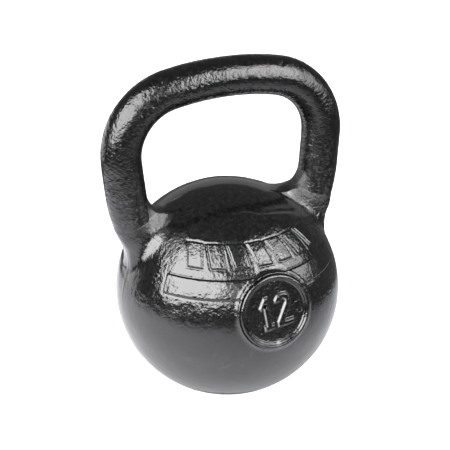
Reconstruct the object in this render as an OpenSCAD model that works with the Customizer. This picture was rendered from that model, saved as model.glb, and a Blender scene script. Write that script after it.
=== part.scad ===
// Cast kettlebell with a cast-in handle bar, a pinned number badge and an adjusting chamber.
// Origin at the centre of the foot, +Z up, the badge at the front (-Y), the handle along X.
// All sizes in millimetres.

/* [Ball] */
// Radius of the ball at its equator
ball_r = 72; // [70:0.5:76]
// Half of the ball's full height, before the foot is cut
ball_half_height = 70.3; // [69:0.1:74]
// Height of the ball's centre above the floor
ball_z = 65; // [62:0.5:67]

/* [Handle] */
// Radius of the round bar at the grip
grip_r = 12; // [11.4:0.1:12.6]
// Growth of the bar's radius from each stretch to the next, from the grip down to the roots
bar_growth = 0.15; // [0.1:0.01:0.2]
// Height of the bar's centre line above the floor, at the middle of the grip
grip_z = 204.9; // [198:0.5:212]
// Radius of the slight crown along the grip
crown_r = 176; // [150:1:220]
// Half of the angle that the crown covers
crown_half_angle = 10.9; // [9:0.1:12]
// Bend radius of the corners
corner_r = 39.6; // [36:0.2:42]
// Inward lean of the legs
leg_lean = 4.2; // [2:0.1:6]
// Length of the straight part of each leg
leg_length = 20.4; // [18:0.1:24]
// Bend radius of the roots, where the legs curve into the ball
root_r = 77.4; // [74:0.2:80]
// Angle along the root bend at which the bar ends, inside the ball
root_end_angle = 48; // [46:1:50]

/* [Roots] */
// Thickness of the collar round the bar
collar_wall = 0.6; // [0.4:0.1:1.2]
// Angle along the root bend at which the collar begins
collar_angle = 16.5; // [15:0.5:19]
// Radius of the fillet between the inside of a leg and the ball
web_fillet_r = 14; // [12:0.5:15]
// Thickness of the web that carries the fillet
web_thickness = 12; // [8:0.5:14]
// Radius of the pins that cross the bar's buried ends
anchor_pin_r = 3; // [2:0.1:3.5]
// Length of the anchor pins
anchor_pin_length = 42; // [34:1:46]
// Angle along the root bend at which the anchor pins sit
anchor_pin_angle = 41; // [40:0.5:42]

/* [Badge] */
// Radius of the badge
badge_r = 22.5; // [21:0.1:23]
// Latitude of the badge's centre on the ball
badge_latitude = 13; // [11:0.5:15]
// Azimuth of the badge's centre, from the front towards +X
badge_azimuth = 2.6; // [-4:0.1:4]
// Height of the rim's face above the ball where the badge's edge meets it
badge_standoff = 3.2; // [2.6:0.1:3.6]
// Depth of the badge's floor below its rim
badge_floor_depth = 1.6; // [1.2:0.1:1.8]
// Thickness of the badge at its rim
badge_thickness = 5.2; // [4.8:0.1:5.6]
// Width of the rim
rim_width = 2.1; // [1.8:0.1:2.4]
// Height of the numerals
numeral_height = 20; // [18:0.5:21]
// Width of the numerals' strokes
stroke = 3.4; // [3:0.1:3.8]
// Turn of the numerals, anticlockwise
numeral_turn = 5; // [0:0.5:8]
// Radius of the pins that hold the badge
badge_pin_r = 1.25; // [1:0.05:1.4]

/* [Relief] */
// Height of the raised bar and pads above the ball
relief = 1.2; // [0.8:0.1:1.6]
// Latitude of the raised bar's lower edge
bar_latitude = 21.5; // [20:0.5:22]
// Latitude of the raised bar's upper edge
bar_top_latitude = 30.5; // [29:0.5:31]
// Half of the angle that the raised bar covers round the ball
bar_half_angle = 56; // [50:1:62]
// Number of raised pads above the bar
pad_count = 7; // [5:1:8]
// Latitude of the pads' centres
pad_latitude = 42; // [40:0.5:43]
// Angle from one pad to the next
pad_pitch = 14; // [13:0.5:15]
// Width of a pad
pad_width = 9; // [7:0.5:9.5]
// Height of a pad
pad_height = 15; // [12:0.5:16]
// Lean of the pads, towards -X at the top
pad_lean = 14; // [0:1:18]

/* [Adjusting chamber] */
// Radius of the plug that closes the chamber
plug_r = 14; // [13:0.1:15]
// Height of the plug
plug_height = 13.5; // [12:0.5:16]
// Thickness of the seal
seal_thickness = 1.5; // [1:0.1:2]
// Radius of the chamber
chamber_r = 11; // [10:0.1:11.5]
// Thickness of the packing disc
packing_thickness = 6; // [4:0.5:7]
// Thickness of one trim slug
slug_thickness = 8; // [6:0.5:8.5]

/* [Hidden] */
$fn = 96;

iron_black = [0.03, 0.03, 0.032];
steel_grey = [0.55, 0.55, 0.56];

// The handle's centre line, on the +X side, as [x, z]
corner_centre = [
    (crown_r - corner_r) * sin(crown_half_angle),
    grip_z - crown_r + (crown_r - corner_r) * cos(crown_half_angle)
];
leg_top = corner_centre + corner_r * [cos(leg_lean), -sin(leg_lean)];
leg_bottom = leg_top - leg_length * [sin(leg_lean), cos(leg_lean)];
root_centre = leg_bottom - root_r * [cos(leg_lean), -sin(leg_lean)];
function root_point(angle) = root_centre + root_r * [cos(angle), -sin(angle)];

// The bar's radius on each stretch. Each stretch runs a little way into the thicker one that follows it.
corner_bar_r = grip_r + bar_growth;
leg_bar_r = grip_r + 2 * bar_growth;
root_bar_r = grip_r + 3 * bar_growth;
overlap = 1;
crown_overlap_angle = overlap / crown_r * 180 / PI;
corner_overlap_angle = overlap / corner_r * 180 / PI;

// The collar ends well inside the ball, before the bar does
collar_cut_back = 10;
collar_end_angle = root_end_angle - collar_cut_back;
collar_r = root_bar_r + collar_wall;

// The badge's levels, measured from the ball's centre along the badge's axis
badge_face = sqrt(ball_r * ball_r - badge_r * badge_r) + badge_standoff;
badge_floor = badge_face - badge_floor_depth;
badge_seat = badge_face - badge_thickness;
badge_step = badge_floor + badge_floor_depth / 2;
step_width = 1.3;
numeral_rise = 1.1;
seat_clearance = 0.3;
badge_pin_length = 13;
badge_pin_recess = 0.9;
badge_pin_places = [[-6.9, 4.6], [16.2, -2.6]];

// The adjusting chamber's levels above the floor
slug_count = 4;
shoulder_z = plug_height + seal_thickness;
packing_top = shoulder_z + packing_thickness;
chamber_top = packing_top + slug_count * slug_thickness;
seal_overhang = 2.5;
seal_inner_r = chamber_r - seal_overhang;
spanner_hole_r = 2;
spanner_hole_depth = 6;
spanner_hole_offset = 8;

// A point on the ball's outline, or raised above it, as [radius, height above the ball's centre]
function ball_point(latitude, raised = 0) =
    [(ball_r + raised) * cos(latitude), (ball_half_height + raised) * sin(latitude)];
outline_step = 5;
foot_latitude = -asin(ball_z / ball_half_height);

module handle_side(side) {
    mirror([side < 0 ? 1 : 0, 0, 0]) children();
}

// Round bar bent on a circle in the XZ plane
module bent_bar(centre, bend_r, r, from, sweep) {
    translate([centre[0], 0, centre[1]])
        rotate([90, 0, 0])
            rotate([0, 0, from])
                rotate_extrude(angle = sweep)
                    translate([bend_r, 0])
                        circle(r = r);
}

// The stretch of bar that curves into the ball, which the casting's sockets are cut with
module root_stretch(r, from_angle, to_angle) {
    bent_bar(root_centre, root_r, r, -to_angle, to_angle - from_angle);
}

module crown_stretch() {
    reach = crown_half_angle + crown_overlap_angle;
    bent_bar([0, grip_z - crown_r], crown_r, grip_r, 90 - reach, 2 * reach);
}

module corner_stretch() {
    from = -leg_lean - corner_overlap_angle;
    bent_bar(corner_centre, corner_r, corner_bar_r, from, 90 - crown_half_angle - from);
}

module leg_stretch() {
    translate([leg_bottom[0], 0, leg_bottom[1]])
        rotate([0, leg_lean, 0])
            translate([0, 0, -overlap])
                cylinder(r = leg_bar_r, h = leg_length + overlap);
}

module anchor_pin_shape(side) {
    place = root_point(anchor_pin_angle);
    translate([side * place[0], 0, place[1]])
        rotate([90, 0, 0])
            cylinder(r = anchor_pin_r, h = anchor_pin_length, center = true);
}

// The ball, cut flat at the foot
module ball_shape(raised = 0) {
    bottom = raised > 0 ? 0 : foot_latitude;
    outline = [
        [0, ball_point(bottom)[1]],
        each [for (i = [0 : floor((90 - bottom) / outline_step)])
            ball_point(bottom + i * outline_step, raised)],
        [0, ball_half_height + raised]
    ];
    translate([0, 0, ball_z])
        rotate_extrude()
            polygon(outline);
}

// The web between the inside of a leg and the top of the ball, with a fillet tangent to both
module root_web() {
    ball_centre = [0, ball_z];
    ball_top_r = (ball_r + ball_half_height) / 2;
    leg_reach = root_r - root_bar_r - web_fillet_r;
    ball_reach = ball_top_r + web_fillet_r;
    between = ball_centre - root_centre;
    apart = norm(between);
    along = (leg_reach * leg_reach - ball_reach * ball_reach + apart * apart) / (2 * apart);
    aside = sqrt(leg_reach * leg_reach - along * along);
    unit = between / apart;
    fillet_centre = root_centre + along * unit + aside * [-unit[1], unit[0]];
    to_leg = (fillet_centre - root_centre) / leg_reach;
    to_ball = (ball_centre - fillet_centre) / ball_reach;
    start = atan2(to_leg[1], to_leg[0]);
    finish = atan2(to_ball[1], to_ball[0]);
    sweep_steps = 16;
    buried_share = 0.8;
    buried_depth = 3;
    inside_ball = ball_centre - buried_share * ball_top_r * to_ball;
    inside_leg = root_point(collar_end_angle);
    inside_leg_top = fillet_centre + (web_fillet_r + buried_depth) * to_leg;
    rotate([90, 0, 0])
        linear_extrude(height = web_thickness, center = true)
            polygon([
                each [for (i = [0 : sweep_steps])
                    fillet_centre + web_fillet_r
                        * [cos(start + (finish - start) * i / sweep_steps),
                           sin(start + (finish - start) * i / sweep_steps)]],
                inside_ball,
                inside_leg,
                inside_leg_top
            ]);
}

// Stands its children on the ball's surface direction: local Z points outwards and local Y up
module on_ball(azimuth, latitude) {
    translate([0, 0, ball_z])
        rotate([90 - latitude, 0, azimuth])
            children();
}

module on_badge() {
    on_ball(badge_azimuth, badge_latitude) children();
}

// The raised bar round the front of the ball
module raised_bar() {
    inner_share = 0.8;
    steps = 4;
    step = (bar_top_latitude - bar_latitude) / steps;
    translate([0, 0, ball_z])
        rotate([0, 0, -90 - bar_half_angle])
            rotate_extrude(angle = 2 * bar_half_angle)
                polygon([
                    each [for (i = [0 : steps]) ball_point(bar_latitude + i * step, relief)],
                    inner_share * ball_point(bar_top_latitude),
                    inner_share * ball_point(bar_latitude)
                ]);
}

// The row of leaning pads above the bar
module raised_pads() {
    shift = -pad_height / 2 * tan(pad_lean);
    half = pad_width / 2;
    intersection() {
        ball_shape(relief);
        union()
            for (i = [0 : pad_count - 1])
                on_ball((i - (pad_count - 1) / 2) * pad_pitch, pad_latitude)
                    translate([0, 0, ball_half_height / 2])
                        linear_extrude(height = ball_r)
                            polygon([
                                [-half - shift, -pad_height / 2],
                                [half - shift, -pad_height / 2],
                                [half + shift, pad_height / 2],
                                [-half + shift, pad_height / 2]
                            ]);
    }
}

module ball_casting() {
    color(iron_black)
        difference() {
            union() {
                ball_shape();
                raised_bar();
                raised_pads();
                for (side = [-1, 1])
                    handle_side(side) {
                        root_stretch(collar_r, collar_angle, collar_end_angle);
                        root_web();
                    }
            }
            for (side = [-1, 1]) {
                handle_side(side) root_stretch(root_bar_r, leg_lean, root_end_angle);
                anchor_pin_shape(side);
            }
            on_badge()
                translate([0, 0, badge_seat])
                    cylinder(r = badge_r + seat_clearance, h = ball_r);
            for (place = badge_pin_places)
                badge_pin_shape(place);
            cylinder(r = plug_r, h = shoulder_z);
            cylinder(r = chamber_r, h = chamber_top);
        }
}

module handle_bar() {
    color(iron_black)
        difference() {
            union() {
                crown_stretch();
                for (side = [-1, 1])
                    handle_side(side) {
                        corner_stretch();
                        leg_stretch();
                        root_stretch(root_bar_r, leg_lean, root_end_angle);
                    }
            }
            for (side = [-1, 1])
                anchor_pin_shape(side);
        }
}

module anchor_pin(side) {
    color(steel_grey)
        anchor_pin_shape(side);
}

// The numeral 1, with a flag at the top and a slab foot
module numeral_one() {
    half = numeral_height / 2;
    left = -7;
    right = left + stroke;
    serif = 1.5;
    slab = 3;
    flag = 2.8;
    flag_drop = 5.5;
    flag_top = 1;
    flag_cut = [1.2, 1.6];
    polygon([
        [left - serif, -half], [right + serif, -half],
        [right + serif, -half + slab], [right, -half + slab],
        [right, half], [left + flag_top, half],
        [left - flag, half - flag_drop],
        [left - flag + flag_cut[0], half - flag_drop - flag_cut[1]],
        [left, half - flag_drop], [left, -half + slab], [left - serif, -half + slab]
    ]);
}

// The numeral 2: a bowl, a diagonal and a flat foot
module numeral_two() {
    half = numeral_height / 2;
    bowl_r = 5.3;
    left = 0.3;
    right = left + 2 * bowl_r;
    slab = 3;
    diagonal_shift = 1.4;
    bowl_centre = [left + bowl_r, half - bowl_r];
    bowl_from = -38;
    bowl_to = 172;
    arc_step = 15;
    inner_r = bowl_r - stroke;
    polygon([
        [left, -half],
        [right, -half],
        [right, -half + slab],
        [left + stroke + diagonal_shift, -half + slab],
        each [for (angle = [bowl_from : arc_step : bowl_to])
            bowl_centre + bowl_r * [cos(angle), sin(angle)]],
        each [for (angle = [bowl_to : -arc_step : bowl_from])
            bowl_centre + inner_r * [cos(angle), sin(angle)]],
        [left, -half + slab]
    ]);
}

module badge_pin_shape(place) {
    on_badge()
        translate([place[0], place[1], badge_floor - badge_pin_recess - badge_pin_length])
            cylinder(r = badge_pin_r, h = badge_pin_length);
}

module numerals() {
    root = 0.6;
    translate([0, 0, badge_floor - root])
        rotate([0, 0, numeral_turn])
            linear_extrude(height = root + numeral_rise) {
                numeral_one();
                numeral_two();
            }
}

module number_badge() {
    color(iron_black)
        on_badge()
            difference() {
                union() {
                    difference() {
                        translate([0, 0, badge_seat])
                            cylinder(r = badge_r, h = badge_face - badge_seat);
                        translate([0, 0, badge_step])
                            cylinder(r = badge_r - rim_width, h = badge_face);
                        translate([0, 0, badge_floor])
                            cylinder(r = badge_r - rim_width - step_width, h = badge_face);
                    }
                    numerals();
                }
                for (place = badge_pin_places)
                    translate([place[0], place[1], badge_seat - badge_floor_depth])
                        cylinder(r = badge_pin_r, h = badge_face);
            }
}

module badge_pin(place) {
    color(steel_grey)
        badge_pin_shape(place);
}

module base_plug() {
    color(iron_black)
        difference() {
            cylinder(r = plug_r, h = plug_height);
            for (side = [-1, 1])
                translate([side * spanner_hole_offset, 0, 0])
                    cylinder(r = spanner_hole_r, h = spanner_hole_depth);
        }
}

module plug_seal() {
    color("dimgray")
        translate([0, 0, plug_height])
            difference() {
                cylinder(r = plug_r, h = seal_thickness);
                cylinder(r = seal_inner_r, h = seal_thickness);
            }
}

module packing_disc() {
    color("tan")
        translate([0, 0, shoulder_z])
            cylinder(r = chamber_r, h = packing_thickness);
}

module trim_slug(index) {
    color(steel_grey)
        translate([0, 0, packing_top + (index - 1) * slug_thickness])
            cylinder(r = chamber_r, h = slug_thickness);
}

ball_casting();
handle_bar();
anchor_pin(-1);  // anchor_pin_left
anchor_pin(1);  // anchor_pin_right
number_badge();
badge_pin(badge_pin_places[0]);  // badge_pin_left
badge_pin(badge_pin_places[1]);  // badge_pin_right
base_plug();
plug_seal();
packing_disc();
trim_slug(1);  // trim_slug_1
trim_slug(2);  // trim_slug_2
trim_slug(3);  // trim_slug_3
trim_slug(4);  // trim_slug_4
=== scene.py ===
"""Kettlebell: detailed pieces, materials, light and camera around the CAD frame. Lengths are in metres."""
import itertools
import math

import bpy
import numpy as np
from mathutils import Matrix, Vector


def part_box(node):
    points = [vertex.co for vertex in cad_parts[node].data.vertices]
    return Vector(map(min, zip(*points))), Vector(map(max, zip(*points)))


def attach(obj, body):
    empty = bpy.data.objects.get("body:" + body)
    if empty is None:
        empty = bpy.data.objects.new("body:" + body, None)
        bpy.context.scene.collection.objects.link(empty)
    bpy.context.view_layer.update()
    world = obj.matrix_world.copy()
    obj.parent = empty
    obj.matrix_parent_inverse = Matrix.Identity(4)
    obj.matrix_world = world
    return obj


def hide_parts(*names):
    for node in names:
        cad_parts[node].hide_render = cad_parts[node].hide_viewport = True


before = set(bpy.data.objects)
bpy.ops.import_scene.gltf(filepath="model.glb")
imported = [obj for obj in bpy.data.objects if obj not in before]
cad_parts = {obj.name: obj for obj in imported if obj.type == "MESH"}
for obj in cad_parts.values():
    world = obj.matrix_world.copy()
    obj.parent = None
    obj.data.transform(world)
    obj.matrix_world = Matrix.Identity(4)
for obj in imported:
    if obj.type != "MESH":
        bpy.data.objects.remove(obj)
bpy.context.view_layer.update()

import openvdb
from mathutils import Matrix, Quaternion, Vector

MM = 0.001
CASTING_LOW, CASTING_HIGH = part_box("ball_casting")
HANDLE_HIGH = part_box("handle_bar")[1]
PLUG_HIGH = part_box("base_plug")[1]
SEAL_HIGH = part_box("plug_seal")[1]
CHAMBER_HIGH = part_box("trim_slug_4")[1]

# ---------------------------------------------------------------- sizes
# The ball
BALL_R = CASTING_HIGH.y
BALL_HALF_HEIGHT = 70.3 * MM
BALL_Z = 65 * MM

# The handle's centre line: crown, corner, leg and root, on the +X side
GRIP_R = 12 * MM
ROOT_BAR_R = HANDLE_HIGH.y
GRIP_Z = HANDLE_HIGH.z - GRIP_R
CROWN_R = 176 * MM
CROWN_HALF_ANGLE = math.radians(10.9)
CORNER_R = 39.6 * MM
LEG_LEAN = math.radians(4.2)
LEG_LENGTH = 20.4 * MM
ROOT_R = 77.4 * MM
ROOT_END_ANGLE = math.radians(48)
COLLAR_ANGLE = math.radians(16.5)
COLLAR_WALL = 0.12 * MM

CORNER_CENTRE = np.array([
    (CROWN_R - CORNER_R) * math.sin(CROWN_HALF_ANGLE),
    GRIP_Z - CROWN_R + (CROWN_R - CORNER_R) * math.cos(CROWN_HALF_ANGLE),
])
LEG_OUT = np.array([math.cos(LEG_LEAN), -math.sin(LEG_LEAN)])
LEG_DOWN = np.array([-math.sin(LEG_LEAN), -math.cos(LEG_LEAN)])
LEG_TOP = CORNER_CENTRE + CORNER_R * LEG_OUT
LEG_BOTTOM = LEG_TOP + LEG_LENGTH * LEG_DOWN
ROOT_CENTRE = LEG_BOTTOM - ROOT_R * LEG_OUT

# The badge
BADGE_R = 22.5 * MM
BADGE_LATITUDE = math.radians(13)
BADGE_AZIMUTH = math.radians(2.6)
BADGE_STANDOFF = 3.2 * MM
BADGE_THICKNESS = 5.2 * MM
FLOOR_DEPTH = 1.6 * MM
RIM_WIDTH = 2.1 * MM
STEP_WIDTH = 1.3 * MM
NUMERAL_HEIGHT = 20 * MM
STROKE = 3.4 * MM
NUMERAL_RISE = 1.25 * MM
NUMERAL_TURN = math.radians(5)
PIN_R = 1.25 * MM
PIN_PLACES = [(-6.9 * MM, 4.6 * MM), (16.2 * MM, -2.6 * MM)]
BADGE_FACE = math.sqrt(BALL_R ** 2 - BADGE_R ** 2) + BADGE_STANDOFF
BADGE_SEAT = BADGE_FACE - BADGE_THICKNESS

# The relief on the front of the ball
RELIEF = 1.1 * MM
BAR_LATITUDES = (math.radians(21.5), math.radians(30.5))
BAR_HALF_ANGLE = math.radians(56)
PAD_COUNT = 7
PAD_PITCH = math.radians(14)
PAD_LATITUDE = math.radians(42)
PAD_WIDTH = 9 * MM
PAD_HEIGHT = 15 * MM
PAD_LEAN = math.radians(-14)

# The adjusting chamber under the ball
PLUG_R = PLUG_HIGH.x
PLUG_GAP = 0.12 * MM
SHOULDER_Z = SEAL_HIGH.z
CHAMBER_R = CHAMBER_HIGH.x
CHAMBER_TOP = CHAMBER_HIGH.z

# How fine the meshes are
VOXEL = 0.6 * MM
HANDLE_SPACING = 0.55 * MM
BADGE_SPACING = 0.2 * MM


# ---------------------------------------------------------------- numpy helpers
HASH_PRIMES = (73856093, 19349663, 83492791)
HASH_MIX = 1274126177
HASH_MASK = 0xFFFFFFFF


def smooth_step(value):
    """0 below 0, 1 above 1, and smooth between them."""
    t = np.clip(value, 0.0, 1.0)
    return t * t * (3.0 - 2.0 * t)


def ramp(value, span):
    """0 at the span's start, 1 after its length, and smooth between. A negative length turns it round."""
    start, length = span
    return smooth_step((value - start) / length)


def smooth_edge(inside, width):
    """0 outside an edge, 1 inside it, and smooth over a strip of the width with the edge in its middle."""
    return smooth_step(inside / width + 0.5)


def value_noise(points, cell, seed):
    """Smooth noise from -1 to 1, with one random value at each corner of a lattice of cells."""
    scaled = points / cell
    base = np.floor(scaled).astype(np.int64)
    share = smooth_step(scaled - base)
    total = np.zeros(len(points))
    for corner in itertools.product((0, 1), repeat=3):
        place = base + np.array(corner)
        key = np.full(len(points), seed * HASH_MIX & HASH_MASK, dtype=np.int64)
        for axis, prime in enumerate(HASH_PRIMES):
            key ^= (place[:, axis] * prime) & HASH_MASK
        key = ((key ^ (key >> 13)) * HASH_MIX) & HASH_MASK
        key = ((key ^ (key >> 15)) * HASH_MIX) & HASH_MASK
        value = (key ^ (key >> 16)) / (HASH_MASK / 2) - 1.0
        weight = np.prod(np.where(np.array(corner), share, 1.0 - share), axis=1)
        total += value * weight
    return total


def flat_noise(places, cell, seed):
    """The same noise for places in a plane."""
    return value_noise(np.concatenate([places, places[:, :1]], axis=1), cell, seed)


def smooth_min(a, b, blend):
    """The lower of two distances, rounded where they are closer together than blend."""
    near = np.maximum(blend - np.abs(a - b), 0.0)
    return np.minimum(a, b) - near * near / (4.0 * blend)


def smooth_max(a, b, blend):
    return -smooth_min(-a, -b, blend)


def gradient(field, points, step=0.05 * MM):
    """The gradient of a distance field, by central differences."""
    columns = []
    for axis in range(3):
        shift = np.zeros(3)
        shift[axis] = step
        columns.append((field(points + shift) - field(points - shift)) / (2.0 * step))
    return np.stack(columns, axis=1)


def unit(vectors):
    return vectors / np.linalg.norm(vectors, axis=1, keepdims=True)


def unit_circle(turn):
    return np.stack([np.cos(turn), np.sin(turn)], axis=1)


def direction(azimuth, latitude):
    """Unit vector at an azimuth from the front (-Y) towards +X, and a latitude above the level."""
    return np.array([
        math.sin(azimuth) * math.cos(latitude),
        -math.cos(azimuth) * math.cos(latitude),
        math.sin(latitude),
    ])


def local_axes(azimuth, latitude):
    """Right, up and outward unit vectors of the ball's surface at a place."""
    outward = direction(azimuth, latitude)
    right = np.array([math.cos(azimuth), math.sin(azimuth), 0.0])
    return right, np.cross(outward, right), outward


BALL_CENTRE = np.array([0.0, 0.0, BALL_Z])
BADGE_RIGHT, BADGE_UP, BADGE_OUT = local_axes(BADGE_AZIMUTH, BADGE_LATITUDE)


def badge_coordinates(offset):
    """Height along the badge's axis and distance from it, for offsets from the ball's centre."""
    height = offset @ BADGE_OUT
    return height, np.linalg.norm(offset - height[:, None] * BADGE_OUT, axis=1)


# ---------------------------------------------------------------- the casting's shape as a distance field
# The fillets between ball and bar, outside and inside the handle, and on the sides of the web inside it
OUTER_BLEND = 1.6 * MM
RIGHT_OUTER_BLEND = 7 * MM
INNER_BLEND = 23.8 * MM
SIDE_CHANGE = 3.6 * MM
WEB_HALF_WIDTH = 6 * MM
WEB_SIDE_CHANGE = 6 * MM
WEB_SIDE_BLEND = 9 * MM
RIGHT_WEB_SIDE_BLEND = 5 * MM

# The collars, with the ledge where they meet the bar, and the core inside the bar
LEDGE_LENGTH = 2.5 * MM
BAR_INSET = 0.5 * MM
ROOT_SQUARENESS = 0.8
SQUARING_LENGTH = 8 * MM
CORE_TOP = 150 * MM

# The badge's seat and the lip round it, and the edges of the foot and of the plug's hole
SEAT_BLEND = 0.9 * MM
SEAT_CLEARANCE = 0.25 * MM
LIP_WIDTH = 0.8 * MM
LIP_DROP = 1.6 * MM
LIP_BLEND = 3 * MM
FOOT_BLEND = 2.2 * MM
EDGE_BLEND = 0.5 * MM


def bar_distance(points):
    """Distance to the roots and legs: a collar low down and, above it, a core that hides inside the bar."""
    across = np.abs(points[:, 0])
    bend = np.hypot(across - ROOT_CENTRE[0], points[:, 2] - ROOT_CENTRE[1])
    angle = np.arctan2(ROOT_CENTRE[1] - points[:, 2], across - ROOT_CENTRE[0])
    collar = smooth_edge(angle - COLLAR_ANGLE, LEDGE_LENGTH / ROOT_R)
    radius = ROOT_BAR_R - BAR_INSET + collar * (BAR_INSET + COLLAR_WALL)
    power = 2.0 + ROOT_SQUARENESS * smooth_step((angle - COLLAR_ANGLE) * ROOT_R / SQUARING_LENGTH)
    section = (np.abs(bend - ROOT_R) / radius) ** power + (np.abs(points[:, 1]) / radius) ** power
    on_root = radius * (section ** (1.0 / power) - 1.0)
    out = (across - LEG_BOTTOM[0]) * LEG_OUT[0] + (points[:, 2] - LEG_BOTTOM[1]) * LEG_OUT[1]
    on_leg = np.hypot(out, points[:, 1]) - (ROOT_BAR_R - BAR_INSET)
    distance = np.where(angle > LEG_LEAN, on_root, on_leg)
    return np.maximum(distance, points[:, 2] - CORE_TOP)


def ball_distance(offset):
    """Distance to the ball, which is a little less high than wide, for offsets from its centre."""
    squash = BALL_HALF_HEIGHT / BALL_R
    stretched = offset / np.array([1.0, 1.0, squash])
    return (np.linalg.norm(stretched, axis=1) - BALL_R) * (1.0 + squash) / 2.0


def root_blend(points):
    """Size of the fillet between ball and bar: large inside the handle, and less on the web's sides."""
    on_right = points[:, 0] > 0
    inner = 1.0 / (1.0 + np.exp((np.abs(points[:, 0]) - LEG_BOTTOM[0]) / SIDE_CHANGE))
    outer_blend = np.where(on_right, RIGHT_OUTER_BLEND, OUTER_BLEND)
    side_blend = np.where(on_right, RIGHT_WEB_SIDE_BLEND, WEB_SIDE_BLEND)
    off_plane = ramp(np.abs(points[:, 1]), (WEB_HALF_WIDTH, WEB_SIDE_CHANGE))
    inner_blend = INNER_BLEND + (side_blend - INNER_BLEND) * off_plane
    return outer_blend + (inner_blend - outer_blend) * inner


def casting_distance(points):
    """Distance to the casting's surface without its relief: ball, roots, foot, badge seat and chamber."""
    offset = points - BALL_CENTRE
    body = smooth_min(ball_distance(offset), bar_distance(points), root_blend(points))
    body = smooth_max(body, -points[:, 2], FOOT_BLEND)

    height, from_axis = badge_coordinates(offset)
    lip = smooth_max(from_axis - BADGE_R - LIP_WIDTH, height - BADGE_FACE + LIP_DROP, SEAT_BLEND)
    body = smooth_min(body, np.maximum(lip, BADGE_SEAT - height), LIP_BLEND)
    seat = smooth_max(from_axis - BADGE_R - SEAT_CLEARANCE, BADGE_SEAT - height, SEAT_CLEARANCE)
    body = smooth_max(body, -seat, SEAT_CLEARANCE)

    from_middle = np.hypot(points[:, 0], points[:, 1])
    plug_hole = np.maximum(from_middle - PLUG_R - PLUG_GAP, points[:, 2] - SHOULDER_Z)
    chamber = np.maximum(from_middle - CHAMBER_R, points[:, 2] - CHAMBER_TOP)
    return smooth_max(body, -np.minimum(plug_hole, chamber), EDGE_BLEND)


# ---------------------------------------------------------------- relief and cast skin
RELIEF_EDGE = 0.8 * MM
GROOVE_DEPTH = 0.3 * MM
GROOVE_WIDTH = 0.55 * MM
SEAM_HEIGHT = 0.3 * MM
SEAM_WIDTH = 0.8 * MM
SEAM_Y = -3 * MM
SPECK_SPAN = (0.2, 0.4)


def raised_shape(inside):
    """Height of a raised shape from the distance inside its outline, with a shallow groove round it."""
    groove = np.exp(-((inside + GROOVE_WIDTH) / GROOVE_WIDTH) ** 2)
    return RELIEF * smooth_edge(inside, RELIEF_EDGE) - GROOVE_DEPTH * groove


def inside_bar(offset):
    """Distance inside the raised bar's outline, for unit offsets from the ball's centre."""
    azimuth = np.arctan2(offset[:, 0], -offset[:, 1])
    latitude = np.arcsin(offset[:, 2])
    low, high = BAR_LATITUDES
    return np.minimum(
        np.minimum(latitude - low, high - latitude) * BALL_R,
        (BAR_HALF_ANGLE - np.abs(azimuth)) * BALL_R * np.cos(latitude),
    )


def inside_pad(offset, azimuth):
    """Distance inside the outline of the leaning pad at an azimuth, for unit offsets from the centre."""
    right, up, out = local_axes(azimuth, PAD_LATITUDE)
    side = (offset @ right) * BALL_R
    rise = (offset @ up) * BALL_R
    lean = (side - rise * math.tan(PAD_LEAN)) * math.cos(PAD_LEAN)
    inside = np.minimum(
        PAD_WIDTH / 2 * math.cos(PAD_LEAN) - np.abs(lean),
        PAD_HEIGHT / 2 - np.abs(rise),
    )
    return np.where(offset @ out > 0, inside, -BALL_R)


def relief_height(points):
    """Height of the raised bar and the leaning pads, for points on the ball."""
    offset = unit(points - BALL_CENTRE)
    height = raised_shape(inside_bar(offset))
    for index in range(PAD_COUNT):
        height += raised_shape(inside_pad(offset, (index - (PAD_COUNT - 1) / 2) * PAD_PITCH))
    return height


def seam_height(points):
    """Height of the seam that the mould's halves leave on the sides of the ball, dressed down in places."""
    wander = SEAM_Y + value_noise(points, 30 * MM, 31) * 2 * MM
    left = smooth_step(0.5 + 0.7 * value_noise(points, 16 * MM, 32))
    return SEAM_HEIGHT * left * np.exp(-((points[:, 1] - wander) / SEAM_WIDTH) ** 2)


def cast_skin(points, strength):
    """Height of the rough cast skin under the enamel: broad waves, orange peel and fine grain."""
    broad = value_noise(points, 9 * MM, 1) * 0.10 * MM
    peel = value_noise(points, 2.1 * MM, 2) * 0.045 * MM
    grain = value_noise(points, 1.0 * MM, 3) * 0.022 * MM
    return broad + (peel + grain) * strength


def specks(points, cell, seed):
    """0 over most of the surface and up to 1 in scattered specks, for dust and small chips in the enamel."""
    return ramp(value_noise(points, cell, seed), SPECK_SPAN)


# ---------------------------------------------------------------- mesh makers
FIELD_BAND = 4.0
RELAX_SHARE = 0.6
LEAST_SLOPE_SQUARED = 0.2


def make_object(name, points, faces, smooth=True):
    mesh = bpy.data.meshes.new(name)
    mesh.from_pydata([], [], [])
    mesh.vertices.add(len(points))
    mesh.vertices.foreach_set("co", np.asarray(points, dtype=np.float32).ravel())
    sizes = np.array([len(face) for face in faces], dtype=np.int32)
    corners = np.concatenate([np.asarray(face) for face in faces]).astype(np.int32)
    mesh.loops.add(len(corners))
    mesh.loops.foreach_set("vertex_index", corners)
    mesh.polygons.add(len(faces))
    starts = np.concatenate([[0], np.cumsum(sizes)[:-1]]).astype(np.int32)
    mesh.polygons.foreach_set("loop_start", starts)
    mesh.update(calc_edges=True)
    mesh.validate()
    mesh.polygons.foreach_set("use_smooth", np.full(len(mesh.polygons), smooth))
    made = bpy.data.objects.new(name, mesh)
    bpy.context.scene.collection.objects.link(made)
    return made


def add_attribute(made, name, values):
    """Stores one number, or one vector, for each point of a piece, for its material to read."""
    kind, field = ("FLOAT_VECTOR", "vector") if values.ndim == 2 else ("FLOAT", "value")
    attribute = made.data.attributes.new(name, kind, "POINT")
    attribute.data.foreach_set(field, values.astype(np.float32).ravel())


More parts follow.
